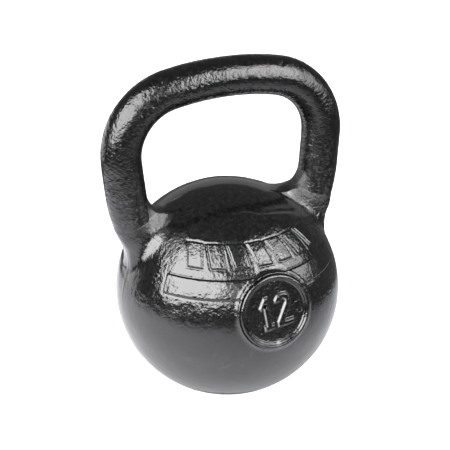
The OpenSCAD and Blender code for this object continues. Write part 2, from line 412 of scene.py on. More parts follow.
def band_quads(start, around):
    """Quads between two rings of points: the ring whose first point is start, and the next one."""
    first = start + np.arange(around)
    following = np.roll(first, -1)
    return np.stack([first, following, following + around, first + around], axis=1)


def settle(points, field, rounds):
    """Moves points onto the surface where the field is zero."""
    for _ in range(rounds):
        slope = gradient(field, points)
        scale = np.maximum((slope ** 2).sum(axis=1), LEAST_SLOPE_SQUARED)
        points = points - (field(points) / scale)[:, None] * slope
    return points


def relax(points, quads, field, rounds=3):
    """Evens out the mesh along the surface, and puts each point back on the surface."""
    starts = quads.ravel()
    ends = np.roll(quads, -1, axis=1).ravel()
    count = np.bincount(starts, minlength=len(points)) + np.bincount(ends, minlength=len(points))
    for _ in range(rounds):
        total = np.zeros_like(points)
        for axis in range(3):
            total[:, axis] = np.bincount(starts, points[ends, axis], len(points))
            total[:, axis] += np.bincount(ends, points[starts, axis], len(points))
        points = points + RELAX_SHARE * (total / count[:, None] - points)
        points = settle(points, field, rounds=2)
    return points


def surface_of(field, low, high, voxel):
    """Points and quads of the surface where the field is zero."""
    counts = [int(math.ceil((b - a) / voxel)) + 1 for a, b in zip(low, high)]
    xs, ys, zs = (a + voxel * np.arange(count) for a, count in zip(low, counts))
    y_grid, z_grid = np.meshgrid(ys, zs, indexing="ij")
    values = np.empty(counts, dtype=np.float32)
    for index, x in enumerate(xs):
        slab = np.stack([np.full(y_grid.size, x), y_grid.ravel(), z_grid.ravel()], axis=1)
        values[index] = field(slab).reshape(y_grid.shape)
    band = FIELD_BAND * voxel
    grid = openvdb.FloatGrid(band)
    grid.copyFromArray(np.clip(values, -band, band))
    points, quads = grid.convertToQuads(isovalue=0.0)
    return points.astype(np.float64) * voxel + np.array(low), quads.astype(np.int64)[:, ::-1]


# ---------------------------------------------------------------- the casting
MARGIN = 3 * MM

# Where the casting's skin changes: the start and the length of each change, for ramp().
# The outside's, the front's and the sides' are in ball radii. Those in radians are latitudes.
# The collars, and the webs inside the handle, have one span in height and one across from the middle.
OUTSIDE_SPAN = (0.96, 0.02)
FOOT_SPAN = (1.5 * MM, 3 * MM)
BADGE_SPAN = (LIP_WIDTH, 1.0 * MM)
ROOT_FADE = 3 * MM
WORKED_SPANS = ((math.radians(4), math.radians(12)), (math.radians(56), math.radians(-8)))
FRONT_SPAN = (-0.3, 1.0)
TOP_SPAN = (math.radians(50), math.radians(10))
LOW_SPAN = (math.radians(6), math.radians(-24))
SIDE_SPAN = (0.6, 0.2)
RIGHT_SPAN = (0.0, 10 * MM)
COLLAR_SPANS = ((100 * MM, 18 * MM), (38 * MM, 12 * MM))
WEB_SPANS = ((114 * MM, 8 * MM), (38 * MM, 7 * MM))

# How strong the grain, the dullness and the dust are there
PATCH_SIZE = 8 * MM
LEAST_WORKED_PATCH = 0.35
COLLAR_PATCHES = 0.6
PLAIN_GRAIN = 0.3
TOP_GRAIN_LOSS = 0.22
WORKED_GRAIN = 0.85
COLLAR_GRAIN = 1.2
RIGHT_COLLAR_GAIN = 0.8
WEB_DULLNESS = 0.42
RIGHT_WEB_GAIN = 0.16
FOOT_DULLNESS = 0.4
DUST = 0.06
DUST_SIZE = 1.5 * MM


def casting_regions(points):
    """How far each point belongs to each region of the casting's surface, from 0 to 1."""
    offset = points - BALL_CENTRE
    distance = np.linalg.norm(offset, axis=1)
    latitude = np.arcsin(np.clip(offset[:, 2] / distance, -1, 1))
    height, from_axis = badge_coordinates(offset)
    across = np.abs(points[:, 0])
    above_foot = ramp(points[:, 2], FOOT_SPAN)
    collar = ramp(points[:, 2], COLLAR_SPANS[0]) * ramp(across, COLLAR_SPANS[1])
    return {
        "outside": ramp(distance / BALL_R, OUTSIDE_SPAN),
        "above_foot": above_foot,
        "off_badge": np.where(height > 0, ramp(from_axis - BADGE_R, BADGE_SPAN), 1.0),
        "off_root": 1.0 - smooth_step(-bar_distance(points) / ROOT_FADE - 1.0),
        "worked": ramp(latitude, WORKED_SPANS[0]) * ramp(latitude, WORKED_SPANS[1]),
        "front": ramp(-offset[:, 1] / BALL_R, FRONT_SPAN),
        "collar": collar,
        "web": ramp(points[:, 2], WEB_SPANS[0]) * ramp(across, WEB_SPANS[1]),
        "top": ramp(latitude, TOP_SPAN) * (1.0 - collar),
        "right": ramp(points[:, 0], RIGHT_SPAN),
        "side": ramp(across / BALL_R, SIDE_SPAN),
        "low": ramp(latitude, LOW_SPAN) * above_foot,
    }


def casting_grain(points, region):
    """Strength of the grain: weak on top, patchy where the front is worked, and strong on the collars."""
    patchy = 0.5 + 0.5 * value_noise(points, PATCH_SIZE, 5)
    worked = WORKED_GRAIN * region["worked"] * region["front"] * (LEAST_WORKED_PATCH + patchy)
    collar = COLLAR_GRAIN * region["collar"] * (1.0 - COLLAR_PATCHES + COLLAR_PATCHES * patchy)
    grain = PLAIN_GRAIN - TOP_GRAIN_LOSS * region["top"] + worked + collar
    return grain * (1.0 + RIGHT_COLLAR_GAIN * region["right"] * region["collar"])


def build_casting():
    low = (CASTING_LOW.x - MARGIN, -BALL_R - MARGIN, -MARGIN)
    high = (CASTING_HIGH.x + MARGIN, BALL_R + MARGIN, CORE_TOP + MARGIN)
    points, quads = surface_of(casting_distance, low, high, VOXEL)
    points = settle(points, casting_distance, rounds=4)
    points = relax(points, quads, casting_distance)
    normals = unit(gradient(casting_distance, points))
    region = casting_regions(points)
    grain = casting_grain(points, region)
    relief = relief_height(points) * region["outside"] * region["off_badge"] * region["off_root"]
    skin = cast_skin(points, grain) + seam_height(points) * region["side"] * region["off_root"]
    height = (relief + skin * region["outside"]) * region["above_foot"]
    points = points + normals * height[:, None]
    web_dullness = (WEB_DULLNESS + RIGHT_WEB_GAIN * region["right"]) * region["web"]
    foot_dullness = FOOT_DULLNESS * (1.0 - region["above_foot"])
    made = make_object("casting_skin", points, quads)
    add_attribute(made, "dust_and_painted_highlight", DUST * region["low"] * specks(points, DUST_SIZE, 41))
    add_attribute(made, "grain", grain * region["outside"])
    add_attribute(made, "dull", np.maximum(web_dullness, foot_dullness))
    add_attribute(made, "place", points)
    return made


# ---------------------------------------------------------------- the bar
# Where the bar's skin and enamel change, as lengths from the middle of the grip, for ramp()
COARSE_SPAN = (95 * MM, 25 * MM)
LOW_LEG_SPAN = (80 * MM, 40 * MM)
RIPPLE_ALONG = 1.2 * MM
RIPPLE_AROUND = 2.6 * MM
RIPPLE_LOSS = 0.8
PIT_START = 0.35
GRIP_PITS = 0.25
# Puts the left half elsewhere in the ripple, and past the start of the coarse skin
LEFT_SHIFT = 1.0
BAR_GRAIN = 1.3
LEG_GRAIN_LOSS = 0.2
LEG_DULLNESS = 0.12
LEG_DUST = 0.09
LEG_DUST_SIZE = 1.2 * MM
# Less than the bar's radius, so that the grain is a little longer round the bar than along it
WRAP_R = 0.8 * GRIP_R


def arc_stretch(centre, radius, start, turn):
    """A clockwise arc of the bar's centre line: its length, and the place at a share of it."""
    def place(share):
        angle = start - share * turn
        out = np.array([math.cos(angle), math.sin(angle)])
        return centre + radius * out, out
    return radius * turn, place


def bar_path(spacing):
    """Places along one half of the bar's centre line, from the middle of the grip to the end of the root.

    Each is x, z, the x and z of the unit vector to the outside, and the length from the middle.
    """
    crown_centre = np.array([0.0, GRIP_Z - CROWN_R])
    corner_start = math.pi / 2 - CROWN_HALF_ANGLE
    stretches = [
        arc_stretch(crown_centre, CROWN_R, math.pi / 2, CROWN_HALF_ANGLE),
        arc_stretch(CORNER_CENTRE, CORNER_R, corner_start, corner_start + LEG_LEAN),
        (LEG_LENGTH, lambda share: (LEG_TOP + share * LEG_LENGTH * LEG_DOWN, LEG_OUT)),
        arc_stretch(ROOT_CENTRE, ROOT_R, -LEG_LEAN, ROOT_END_ANGLE - LEG_LEAN),
    ]
    places = []
    start = 0.0
    for length, place in stretches:
        count = int(round(length / spacing))
        for index in range(count):
            centre, out = place(index / count)
            places.append((*centre, *out, start + length * index / count))
        start += length
    centre, out = place(1.0)
    places.append((*centre, *out, start))
    return np.array(places)


def bar_skin(points, along, around):
    """Height of the bar's skin: broad waves, a fine ripple across the bar, grain and pits.

    Along is the length from the middle of the grip, negative on the left, and around is that round the bar.
    """
    length = np.abs(along) + np.where(along < 0, LEFT_SHIFT, 0.0)
    coarse = ramp(length, COARSE_SPAN)
    ripple_places = np.stack([length / RIPPLE_ALONG, around / RIPPLE_AROUND, np.zeros_like(length)], axis=1)
    broad = value_noise(points, 11 * MM, 11) * 0.16 * MM
    ripple = value_noise(ripple_places, 1.0, 12) * 0.045 * MM
    grain = value_noise(points, 1.1 * MM, 13) * 0.030 * MM
    pits = np.maximum(value_noise(points, 1.7 * MM, 14) - PIT_START, 0.0) * -0.22 * MM
    pits = pits * (GRIP_PITS + (1.0 - GRIP_PITS) * coarse)
    return broad + ripple * (1.0 - RIPPLE_LOSS * coarse) + grain * (1.0 + coarse) + pits


def build_handle():
    """The bar: rings of points round its whole centre line, closed by a flat face at each end."""
    half = bar_path(HANDLE_SPACING)
    left = half[:0:-1] * np.array([-1, 1, -1, 1, -1])
    path = np.concatenate([left, half])
    around = int(round(2 * math.pi * ROOT_BAR_R / HANDLE_SPACING))
    turn = 2 * math.pi * np.arange(around) / around
    grown = smooth_step(np.abs(path[:, 4]) / half[-1, 4])
    radius = GRIP_R + (ROOT_BAR_R - GRIP_R) * grown
    level = np.zeros(len(path))
    centres = np.stack([path[:, 0], level, path[:, 1]], axis=1)
    out = np.stack([path[:, 2], level, path[:, 3]], axis=1)
    side = np.array([0.0, 1.0, 0.0])
    normals = out[:, None, :] * np.cos(turn)[None, :, None] + side * np.sin(turn)[None, :, None]
    points = (centres[:, None, :] + normals * radius[:, None, None]).reshape(-1, 3)
    along = np.repeat(path[:, 4], around)
    wrap = np.abs(np.tile(turn, len(path)) - math.pi) * GRIP_R
    points = points + normals.reshape(-1, 3) * bar_skin(points, along, wrap)[:, None]
    last = (len(path) - 1) * around
    faces = list(np.concatenate([band_quads(start, around) for start in range(0, last, around)]))
    faces.append(np.arange(around)[::-1])
    faces.append(last + np.arange(around))
    made = make_object("handle_skin", points, faces)
    low_leg = ramp(np.abs(along), LOW_LEG_SPAN)
    add_attribute(made, "grain", BAR_GRAIN - LEG_GRAIN_LOSS * low_leg)
    add_attribute(made, "dull", LEG_DULLNESS * low_leg)
    add_attribute(made, "dust_and_painted_highlight", LEG_DUST * low_leg * specks(points, LEG_DUST_SIZE, 42))
    wrapped = np.tile(WRAP_R * unit_circle(turn), (len(path), 1))
    add_attribute(made, "place", np.concatenate([along[:, None], wrapped], axis=1))
    return made


# ---------------------------------------------------------------- the badge
# How wide the sloping edges on its face are, how deep the pins' holes are, and how high the numerals' feet
RIM_EDGE = 1.0 * MM
STEP_EDGE = 1.3 * MM
NUMERAL_EDGE = 1.5 * MM
PIN_HOLE_EDGE = 0.25 * MM
PIN_HOLE_DEPTH = 2 * MM
SLAB = 3 * MM

# The rings of ripple low on its floor, just inside the rim. The spans are for ramp()
RIPPLE_LOW_SPAN = (0.35, 1.0)
RIPPLE_RADIUS_SPANS = ((16.5 * MM, 1.5 * MM), (21.5 * MM, -MM))
RIPPLE_HEIGHT = 0.13 * MM
RIPPLE_PITCH = 1.25 * MM
RIPPLE_WANDER = 2.5

# Where the numerals' edges are painted pale as a painted highlight: strongest on the edges that face left
# and down, with a little all round
HIGHLIGHT_REACH = 0.3 * MM
HIGHLIGHT_INSET = 0.1 * MM
HIGHLIGHT_WIDTH = 0.27 * MM
LEAST_HIGHLIGHT = 0.2
LEFT_HIGHLIGHT = 0.9
DOWN_HIGHLIGHT = 0.5
HIGHLIGHT_PATCHES = 0.25

# Its rounded edge, the top of its side, and the rough skin on its face
FACE_EDGE_R = 1.2 * MM
EDGE_STEPS = 9
SIDE_TOP = -1.8 * MM
SIDE_STEPS = 6
FACE_LOW = -2.5 * MM
FACE_GRAIN = 0.7
FACE_SKIN_SHARE = 0.6


def numeral_one():
    """Outline of the 1, with the badge's centre as its origin."""
    half = NUMERAL_HEIGHT / 2
    left = -7 * MM
    right = left + STROKE
    serif = 1.5 * MM
    shoulder = 1 * MM
    flag = 2.8 * MM
    flag_drop = 5.5 * MM
    flag_cut = (1.2 * MM, 1.6 * MM)
    return np.array([
        (left - serif, -half), (right + serif, -half),
        (right + serif, -half + SLAB), (right, -half + SLAB),
        (right, half), (left + shoulder, half),
        (left - flag, half - flag_drop), (left - flag + flag_cut[0], half - flag_drop - flag_cut[1]),
        (left, half - flag_drop), (left, -half + SLAB), (left - serif, -half + SLAB),
    ])


def numeral_two():
    """Outline of the 2, with the badge's centre as its origin."""
    half = NUMERAL_HEIGHT / 2
    bowl_r = 5.3 * MM
    inner_r = bowl_r - STROKE
    left = 0.3 * MM
    right = left + 2 * bowl_r
    neck = 1.4 * MM
    bowl = np.array([left + bowl_r, half - bowl_r])
    arc = unit_circle(np.radians(np.linspace(-38, 172, 36)))
    return np.concatenate([
        [(left, -half), (right, -half), (right, -half + SLAB), (left + STROKE + neck, -half + SLAB)],
        bowl + bowl_r * arc,
        bowl + inner_r * arc[::-1],
        [(left, -half + SLAB)],
    ])


def numeral_places(places):
    """The badge's places in the numerals' own axes, which lean a little."""
    cosine, sine = math.cos(NUMERAL_TURN), math.sin(NUMERAL_TURN)
    return places @ np.array([[cosine, -sine], [sine, cosine]])


def inside_outline(places, outline):
    """Distance inside a closed outline, negative outside it."""
    nearest = np.full(len(places), np.inf)
    inside = np.zeros(len(places), dtype=bool)
    for start, end in zip(outline, np.roll(outline, -1, axis=0)):
        edge = end - start
        share = np.clip((places - start) @ edge / (edge @ edge), 0.0, 1.0)
        nearest = np.minimum(nearest, np.linalg.norm(places - start - share[:, None] * edge, axis=1))
        crosses = (start[1] > places[:, 1]) != (end[1] > places[:, 1])
        rise = edge[1] if edge[1] != 0 else 1.0
        inside ^= crosses & (places[:, 0] < start[0] + (places[:, 1] - start[1]) / rise * edge[0])
    return np.where(inside, nearest, -nearest)


def badge_height(places):
    """Height of the badge's face above its floor."""
    radius = np.linalg.norm(places, axis=1)
    rim = smooth_edge(radius - (BADGE_R - RIM_WIDTH), RIM_EDGE)
    step = smooth_edge(radius - (BADGE_R - RIM_WIDTH - STEP_WIDTH), STEP_EDGE)
    height = FLOOR_DEPTH / 2 * (rim + step)
    rippled = ramp(-places[:, 1] / BADGE_R, RIPPLE_LOW_SPAN)
    for span in RIPPLE_RADIUS_SPANS:
        rippled = rippled * ramp(radius, span)
    wander = RIPPLE_WANDER * flat_noise(places, 3 * MM, 21)
    height += rippled * RIPPLE_HEIGHT * np.sin(2 * math.pi * radius / RIPPLE_PITCH + wander)
    turned = numeral_places(places)
    for outline in (numeral_one(), numeral_two()):
        height += NUMERAL_RISE * smooth_edge(inside_outline(turned, outline), NUMERAL_EDGE)
    for place in PIN_PLACES:
        from_pin = np.linalg.norm(places - np.array(place), axis=1)
        hole = 1.0 - smooth_edge(from_pin - PIN_R, PIN_HOLE_EDGE)
        height = height * (1.0 - hole) - PIN_HOLE_DEPTH * hole
    return height


def numeral_edge_highlight(places):
    """How pale the numerals' edges are painted, as a painted highlight: most on those that face down and to
    the left.
    """
    turned = numeral_places(places)
    edge_highlight = np.zeros(len(places))
    for outline in (numeral_one(), numeral_two()):
        inside = inside_outline(turned, outline)
        to_right = inside_outline(turned + np.array([HIGHLIGHT_REACH, 0.0]), outline) - inside
        upwards = inside_outline(turned + np.array([0.0, HIGHLIGHT_REACH]), outline) - inside
        facing = smooth_step((LEFT_HIGHLIGHT * to_right + DOWN_HIGHLIGHT * upwards) / HIGHLIGHT_REACH)
        edge = np.exp(-((inside - HIGHLIGHT_INSET) / HIGHLIGHT_WIDTH) ** 2)
        edge_highlight = np.maximum(edge_highlight, edge * (LEAST_HIGHLIGHT + (1.0 - LEAST_HIGHLIGHT) * facing))
    return edge_highlight * (1.0 - HIGHLIGHT_PATCHES + HIGHLIGHT_PATCHES * flat_noise(places, 2 * MM, 22))


def badge_profile():
    """Radius and drop of each ring of the badge, from its middle over its rounded edge and down its side."""
    rings = int(round(BADGE_R / BADGE_SPACING))
    flat_r = BADGE_R - FACE_EDGE_R
    face = [BADGE_R * index / rings for index in range(1, rings - 1)]
    profile = [(radius, 0.0) for radius in face if radius < flat_r]
    for angle in np.linspace(0, math.pi / 2, EDGE_STEPS):
        profile.append((flat_r + FACE_EDGE_R * math.sin(angle), FACE_EDGE_R * (math.cos(angle) - 1)))
    for depth in np.linspace(SIDE_TOP, -BADGE_THICKNESS, SIDE_STEPS):
        profile.append((BADGE_R, depth))
    return profile


def build_badge():
    """The badge: rings of points round its middle, closed by a flat back."""
    around = int(round(2 * math.pi * BADGE_R / BADGE_SPACING))
    circle = unit_circle(2 * math.pi * np.arange(around) / around)
    profile = badge_profile()
    middle = np.zeros((1, 2))
    places = np.concatenate([middle] + [circle * radius for radius, drop in profile])
    drops = np.concatenate([[0.0]] + [np.full(around, drop) for radius, drop in profile])
    heights = badge_height(places) + drops
    above_centre = BADGE_FACE - FLOOR_DEPTH + heights
    points = (BALL_CENTRE + places[:, :1] * BADGE_RIGHT + places[:, 1:] * BADGE_UP
              + above_centre[:, None] * BADGE_OUT)
    skin = cast_skin(points, FACE_GRAIN) * (heights > FACE_LOW)
    points = points + skin[:, None] * FACE_SKIN_SHARE * BADGE_OUT
    first_ring = 1 + np.arange(around)
    faces = list(np.stack([np.zeros(around, dtype=int), first_ring, np.roll(first_ring, -1)], axis=1))
    last = 1 + (len(profile) - 1) * around
    for start in range(1, last, around):
        faces += list(band_quads(start, around)[:, [0, 3, 2, 1]])
    faces.append(last + np.arange(around)[::-1])
    made = make_object("badge_face", points, faces)
    add_attribute(made, "grain", np.full(len(points), 1.0))
    add_attribute(made, "dull", np.zeros(len(points)))
    # Painted highlight along the numerals' edges, stored in the attribute that holds dust on the other
    # pieces
    add_attribute(made, "dust_and_painted_highlight", numeral_edge_highlight(places))
    add_attribute(made, "place", points)
    return made


# ---------------------------------------------------------------- materials
def new_material(name):
    material = bpy.data.materials.new(name)
    material.use_nodes = True
    nodes = material.node_tree.nodes
    return material, nodes, material.node_tree.links, nodes["Principled BSDF"]


def noise_node(nodes, links, place, size, detail=3.0):
    """Noise whose features are about size across, in metres."""
    mapping = nodes.new("ShaderNodeMapping")
    mapping.inputs["Scale"].default_value = (1 / size, 1 / size, 1 / size)
    links.new(place, mapping.inputs["Vector"])
    noise = nodes.new("ShaderNodeTexNoise")
    noise.inputs["Scale"].default_value = 1.0
    noise.inputs["Detail"].default_value = detail
    links.new(mapping.outputs["Vector"], noise.inputs["Vector"])
    return noise


def ramp_node(nodes, links, source, stops):
    """Colour ramp driven by the source's factor. Each stop is (position, colour)."""
    ramp = nodes.new("ShaderNodeValToRGB")
    elements = ramp.color_ramp.elements
    while len(elements) < len(stops):
        elements.new(0.5)
    for element, (position, colour) in zip(elements, stops):
        element.position = position
        element.color = (*colour, 1.0)
    links.new(source, ramp.inputs["Fac"])
    return ramp


def bump_node(nodes, links, source, depth, after=None):
    bump = nodes.new("ShaderNodeBump")
    bump.inputs["Distance"].default_value = depth
    links.new(source, bump.inputs["Height"])
    if after is not None:
        links.new(after.outputs["Normal"], bump.inputs["Normal"])
    return bump


def grey(level):
    return (level, level, level * 1.02)


def attribute_node(nodes, name):
    attribute = nodes.new("ShaderNodeAttribute")
    attribute.attribute_type = "GEOMETRY"
    attribute.attribute_name = name
    return attribute


def math_node(nodes, links, operation, *values):
    """Each value is an output or a plain number."""
    node = nodes.new("ShaderNodeMath")
    node.operation = operation
    for socket, value in zip(node.inputs, values):
        if isinstance(value, (int, float)):
            socket.default_value = value
        else:
            links.new(value, socket)
    return node.outputs["Value"]


def length_node(nodes, links, vector):
    """The length of a vector: for object coordinates, the distance from the object's origin."""
    node = nodes.new("ShaderNodeVectorMath")
    node.operation = "LENGTH"
    links.new(vector, node.inputs[0])
    return node.outputs["Value"]


def mix_node(nodes, links, first, second, blend="MIX"):
    """Mix of two colours, with its Factor left for the caller."""
    mix = nodes.new("ShaderNodeMix")
    mix.data_type = "RGBA"
    mix.blend_type = blend
    for socket, value in ((mix.inputs["A"], first), (mix.inputs["B"], second)):
        if isinstance(value, tuple):
            socket.default_value = (*value, 1.0)
        else:
            links.new(value, socket)
    return mix


# Pale grey for dust specks, and for the painted highlight on the numerals' edges
DUST_AND_HIGHLIGHT_GREY = (0.14, 0.14, 0.14)
MOTTLE_SIZE = 2.4 * MM
MOTTLE_STOPS = ((0.35, 0.5), (0.62, 1.4), (0.74, 2.5))
GLOSS_PATCH_SIZE = 5 * MM
GLOSS_RANGE = (0.35, 0.7)
DULL_ROUGHNESS = 0.75
FINE_SHARE = 0.55
COARSE_RATIO = 3.1
CARRIED_GRAIN = 0.5
ENAMEL_IOR = 1.5


def black_enamel(name, level, rough_low, rough_high, grain_size, grain_depth, specular=0.5, carried=False):
    """Gloss black enamel over metal: slightly mottled, with gloss and grain that vary from place to place.

    A carried-over CAD piece has no stored places or grain, so its grain comes from its position alone.
    """
    material, nodes, links, shader = new_material(name)
    coords = nodes.new("ShaderNodeTexCoord").outputs["Object"]
    mottle = noise_node(nodes, links, coords, MOTTLE_SIZE, 4.0)
    stops = [(position, grey(level * share)) for position, share in MOTTLE_STOPS]
    colour = ramp_node(nodes, links, mottle.outputs["Fac"], stops).outputs["Color"]
    dull, place, strength = 0.0, coords, CARRIED_GRAIN
    if not carried:
        # Mixes towards pale grey: dust specks on the casting and bar, and a painted highlight along the
        # badge's numeral edges
        dust_and_painted_highlight = mix_node(nodes, links, colour, DUST_AND_HIGHLIGHT_GREY)
        links.new(attribute_node(nodes, "dust_and_painted_highlight").outputs["Fac"], dust_and_painted_highlight.inputs["Factor"])
        colour = dust_and_painted_highlight.outputs["Result"]
        dull = attribute_node(nodes, "dull").outputs["Fac"]
        place = attribute_node(nodes, "place").outputs["Vector"]
        strength = attribute_node(nodes, "grain").outputs["Fac"]
    links.new(colour, shader.inputs["Base Color"])

    patches = noise_node(nodes, links, coords, GLOSS_PATCH_SIZE, 5.0)
    gloss = nodes.new("ShaderNodeMapRange")
    gloss.inputs["From Min"].default_value, gloss.inputs["From Max"].default_value = GLOSS_RANGE
    gloss.inputs["To Min"].default_value = rough_low
    gloss.inputs["To Max"].default_value = rough_high
    links.new(patches.outputs["Fac"], gloss.inputs["Value"])
    duller = math_node(nodes, links, "MULTIPLY_ADD", dull, DULL_ROUGHNESS, gloss.outputs["Result"])
    links.new(duller, shader.inputs["Roughness"])

    fine = noise_node(nodes, links, place, grain_size, 3.0).outputs["Fac"]
    coarse = noise_node(nodes, links, place, grain_size * COARSE_RATIO, 2.0).outputs["Fac"]
    both = math_node(nodes, links, "MULTIPLY_ADD", fine, FINE_SHARE, coarse)
    bump = bump_node(nodes, links, math_node(nodes, links, "MULTIPLY", both, strength), grain_depth)
    links.new(bump.outputs["Normal"], shader.inputs["Normal"])
    shader.inputs["IOR"].default_value = ENAMEL_IOR
    shader.inputs["Specular IOR Level"].default_value = specular
    return material


RING_SCALE = 900.0
RING_DISTORTION = 1.5
RING_DEPTH = 0.02 * MM
STAIN_SIZE = 6 * MM
STAIN_SHARE = 0.7
STEEL_ROUGHNESS = 0.38


def turned_steel(name, level):
    """Bare turned steel with faint rings and a few dull stains."""
    material, nodes, links, shader = new_material(name)
    coords = nodes.new("ShaderNodeTexCoord").outputs["Object"]
    wave = nodes.new("ShaderNodeTexWave")
    wave.wave_type = "RINGS"
    wave.rings_direction = "Z"
    wave.inputs["Scale"].default_value = RING_SCALE
    wave.inputs["Distortion"].default_value = RING_DISTORTION
    links.new(coords, wave.inputs["Vector"])
    stain = noise_node(nodes, links, coords, STAIN_SIZE)
    stops = [(0.3, grey(level * STAIN_SHARE)), (0.7, grey(level))]
    colour = ramp_node(nodes, links, stain.outputs["Fac"], stops)
    links.new(colour.outputs["Color"], shader.inputs["Base Color"])
    bump = bump_node(nodes, links, wave.outputs["Fac"], RING_DEPTH)
    links.new(bump.outputs["Normal"], shader.inputs["Normal"])
    shader.inputs["Metallic"].default_value = 1.0
    shader.inputs["Roughness"].default_value = STEEL_ROUGHNESS
    return material


def matt_material(name, colour, grain_size, grain_depth, roughness):
    """Rubber or felt: matt, with fine grain."""
    material, nodes, links, shader = new_material(name)
    coords = nodes.new("ShaderNodeTexCoord")
    grain = noise_node(nodes, links, coords.outputs["Object"], grain_size, 6.0)
    darker = tuple(0.6 * part for part in colour)
    ramp_colour = ramp_node(nodes, links, grain.outputs["Fac"], [(0.3, darker), (0.7, colour)])
    links.new(ramp_colour.outputs["Color"], shader.inputs["Base Color"])
    bump = bump_node(nodes, links, grain.outputs["Fac"], grain_depth)
    links.new(bump.outputs["Normal"], shader.inputs["Normal"])
    shader.inputs["Roughness"].default_value = roughness
    return material


def give_material(target, material):
    target.data.materials.clear()
    target.data.materials.append(material)


# ---------------------------------------------------------------- pieces
def add_piece(piece, node, material):
    give_material(piece, material)
    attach(piece, "root")
    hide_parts(node)


ball_enamel = black_enamel("ball_enamel", 0.0025, 0.05, 0.14, 1.5 * MM, 0.40 * MM)
bar_enamel = black_enamel("bar_enamel", 0.002, 0.05, 0.12, 1.25 * MM, 0.42 * MM, 0.38)
badge_enamel = black_enamel("badge_enamel", 0.0018, 0.05, 0.12, 1.3 * MM, 0.30 * MM)
plug_enamel = black_enamel("plug_enamel", 0.01, 0.35, 0.55, 0.6 * MM, 0.1 * MM, carried=True)
pin_enamel = black_enamel("pin_enamel", 0.001, 0.5, 0.7, 0.5 * MM, 0.1 * MM, 0.1, carried=True)

add_piece(build_casting(), "ball_casting", ball_enamel)
add_piece(build_handle(), "handle_bar", bar_enamel)
add_piece(build_badge(), "number_badge", badge_enamel)

steel = turned_steel("bare_steel", 0.52)
CARRIED_OVER = {
    "base_plug": plug_enamel,
    "badge_pin_left": pin_enamel,
    "badge_pin_right": pin_enamel,
    "anchor_pin_left": steel,
    "anchor_pin_right": steel,
    "plug_seal": matt_material("seal_rubber", (0.03, 0.03, 0.03), 0.4 * MM, 0.02 * MM, 0.75),
    "packing_disc": matt_material("packing_felt", (0.4, 0.38, 0.34), 0.5 * MM, 0.15 * MM, 0.95),
    "trim_slug_1": steel,
    "trim_slug_2": steel,
    "trim_slug_3": steel,
    "trim_slug_4": steel,
}
for node_name, node_material in CARRIED_OVER.items():
    node_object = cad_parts[node_name]
    for slot_entry in node_object.material_slots:
        slot_entry.link = "OBJECT"
        slot_entry.material = node_material


# ---------------------------------------------------------------- stage
TABLE_R = 0.42
TABLE_CENTRE = (-0.16, -0.16)
CONTACT_R = 38 * MM
FLOOR_R = 8.0
FLOOR_Z = -0.4 * MM
DOME_R = 0.98 * FLOOR_R
STAGE_ROUGHNESS = 0.9
FLOOR_LEVEL = 0.8
# Each stop is a distance, from the origin or the middle of the table's painted pool of light, and a grey
# level.
# The floor's distances are shares of its radius.
FLOOR_GLOW = ((0.03, 0.35), (0.25, 0.9))
# Painted pool of light: the table's grey falls off away from a pale middle, as lamp light would
TABLE_PAINTED_FALLOFF = ((0.14, 0.70), (0.28, 0.46), (0.44, 0.12))
# Painted contact shadow: the table's grey darkens close to the ball's foot
CONTACT_SHADE = ((0.045, 0.5), (0.10, 1.0))
# The middle of the table's painted pool of light is where this shift takes an object's coordinates to zero
PAINTED_POOL_SHIFT = (0.14, -0.05, 0.0)


def new_stage_material(name):
    """A matt material without reflections."""
    material, nodes, links, shader = new_material(name)
    shader.inputs["Roughness"].default_value = STAGE_ROUGHNESS
    shader.inputs["Specular IOR Level"].default_value = 0.0
    return material, nodes, links, shader


def grey_ramp(nodes, links, source, stops):
    return ramp_node(nodes, links, source, [(position, grey(level)) for position, level in stops])


def stage_material(name, emission):
    """Black, with an even white glow."""
    material, nodes, links, shader = new_stage_material(name)
    shader.inputs["Base Color"].default_value = (0.0, 0.0, 0.0, 1.0)
    shader.inputs["Emission Color"].default_value = (1.0, 1.0, 1.0, 1.0)
    shader.inputs["Emission Strength"].default_value = emission
    return material


def glowing_floor(name):
    """A pale floor that glows more with distance, so that it stays as pale as the backdrop."""
    material, nodes, links, shader = new_stage_material(name)
    coords = nodes.new("ShaderNodeTexCoord").outputs["Object"]
    share = math_node(nodes, links, "DIVIDE", length_node(nodes, links, coords), FLOOR_R)
    glow = grey_ramp(nodes, links, share, FLOOR_GLOW)
    links.new(glow.outputs["Color"], shader.inputs["Emission Color"])
    shader.inputs["Emission Strength"].default_value = 1.0
    shader.inputs["Base Color"].default_value = (*grey(FLOOR_LEVEL), 1.0)
    return material


def painted_light_table_material(name):
    """Painted light and shade on a table seen only in reflections: a painted pool of light, pale beside the
    ball and greyer with distance, and a painted contact shadow, darker again close to the ball's foot.
    """
    material, nodes, links, shader = new_stage_material(name)
    coords = nodes.new("ShaderNodeTexCoord").outputs["Object"]
    mapping = nodes.new("ShaderNodeMapping")
    mapping.inputs["Location"].default_value = PAINTED_POOL_SHIFT
    links.new(coords, mapping.inputs["Vector"])
    from_middle = length_node(nodes, links, mapping.outputs["Vector"])
    painted_falloff = grey_ramp(nodes, links, from_middle, TABLE_PAINTED_FALLOFF)
    painted_contact_shadow = grey_ramp(nodes, links, length_node(nodes, links, coords), CONTACT_SHADE)
    shade = mix_node(nodes, links, painted_falloff.outputs["Color"], painted_contact_shadow.outputs["Color"], "MULTIPLY")
    shade.inputs["Factor"].default_value = 1.0
    links.new(shade.outputs["Result"], shader.inputs["Base Color"])
    return material


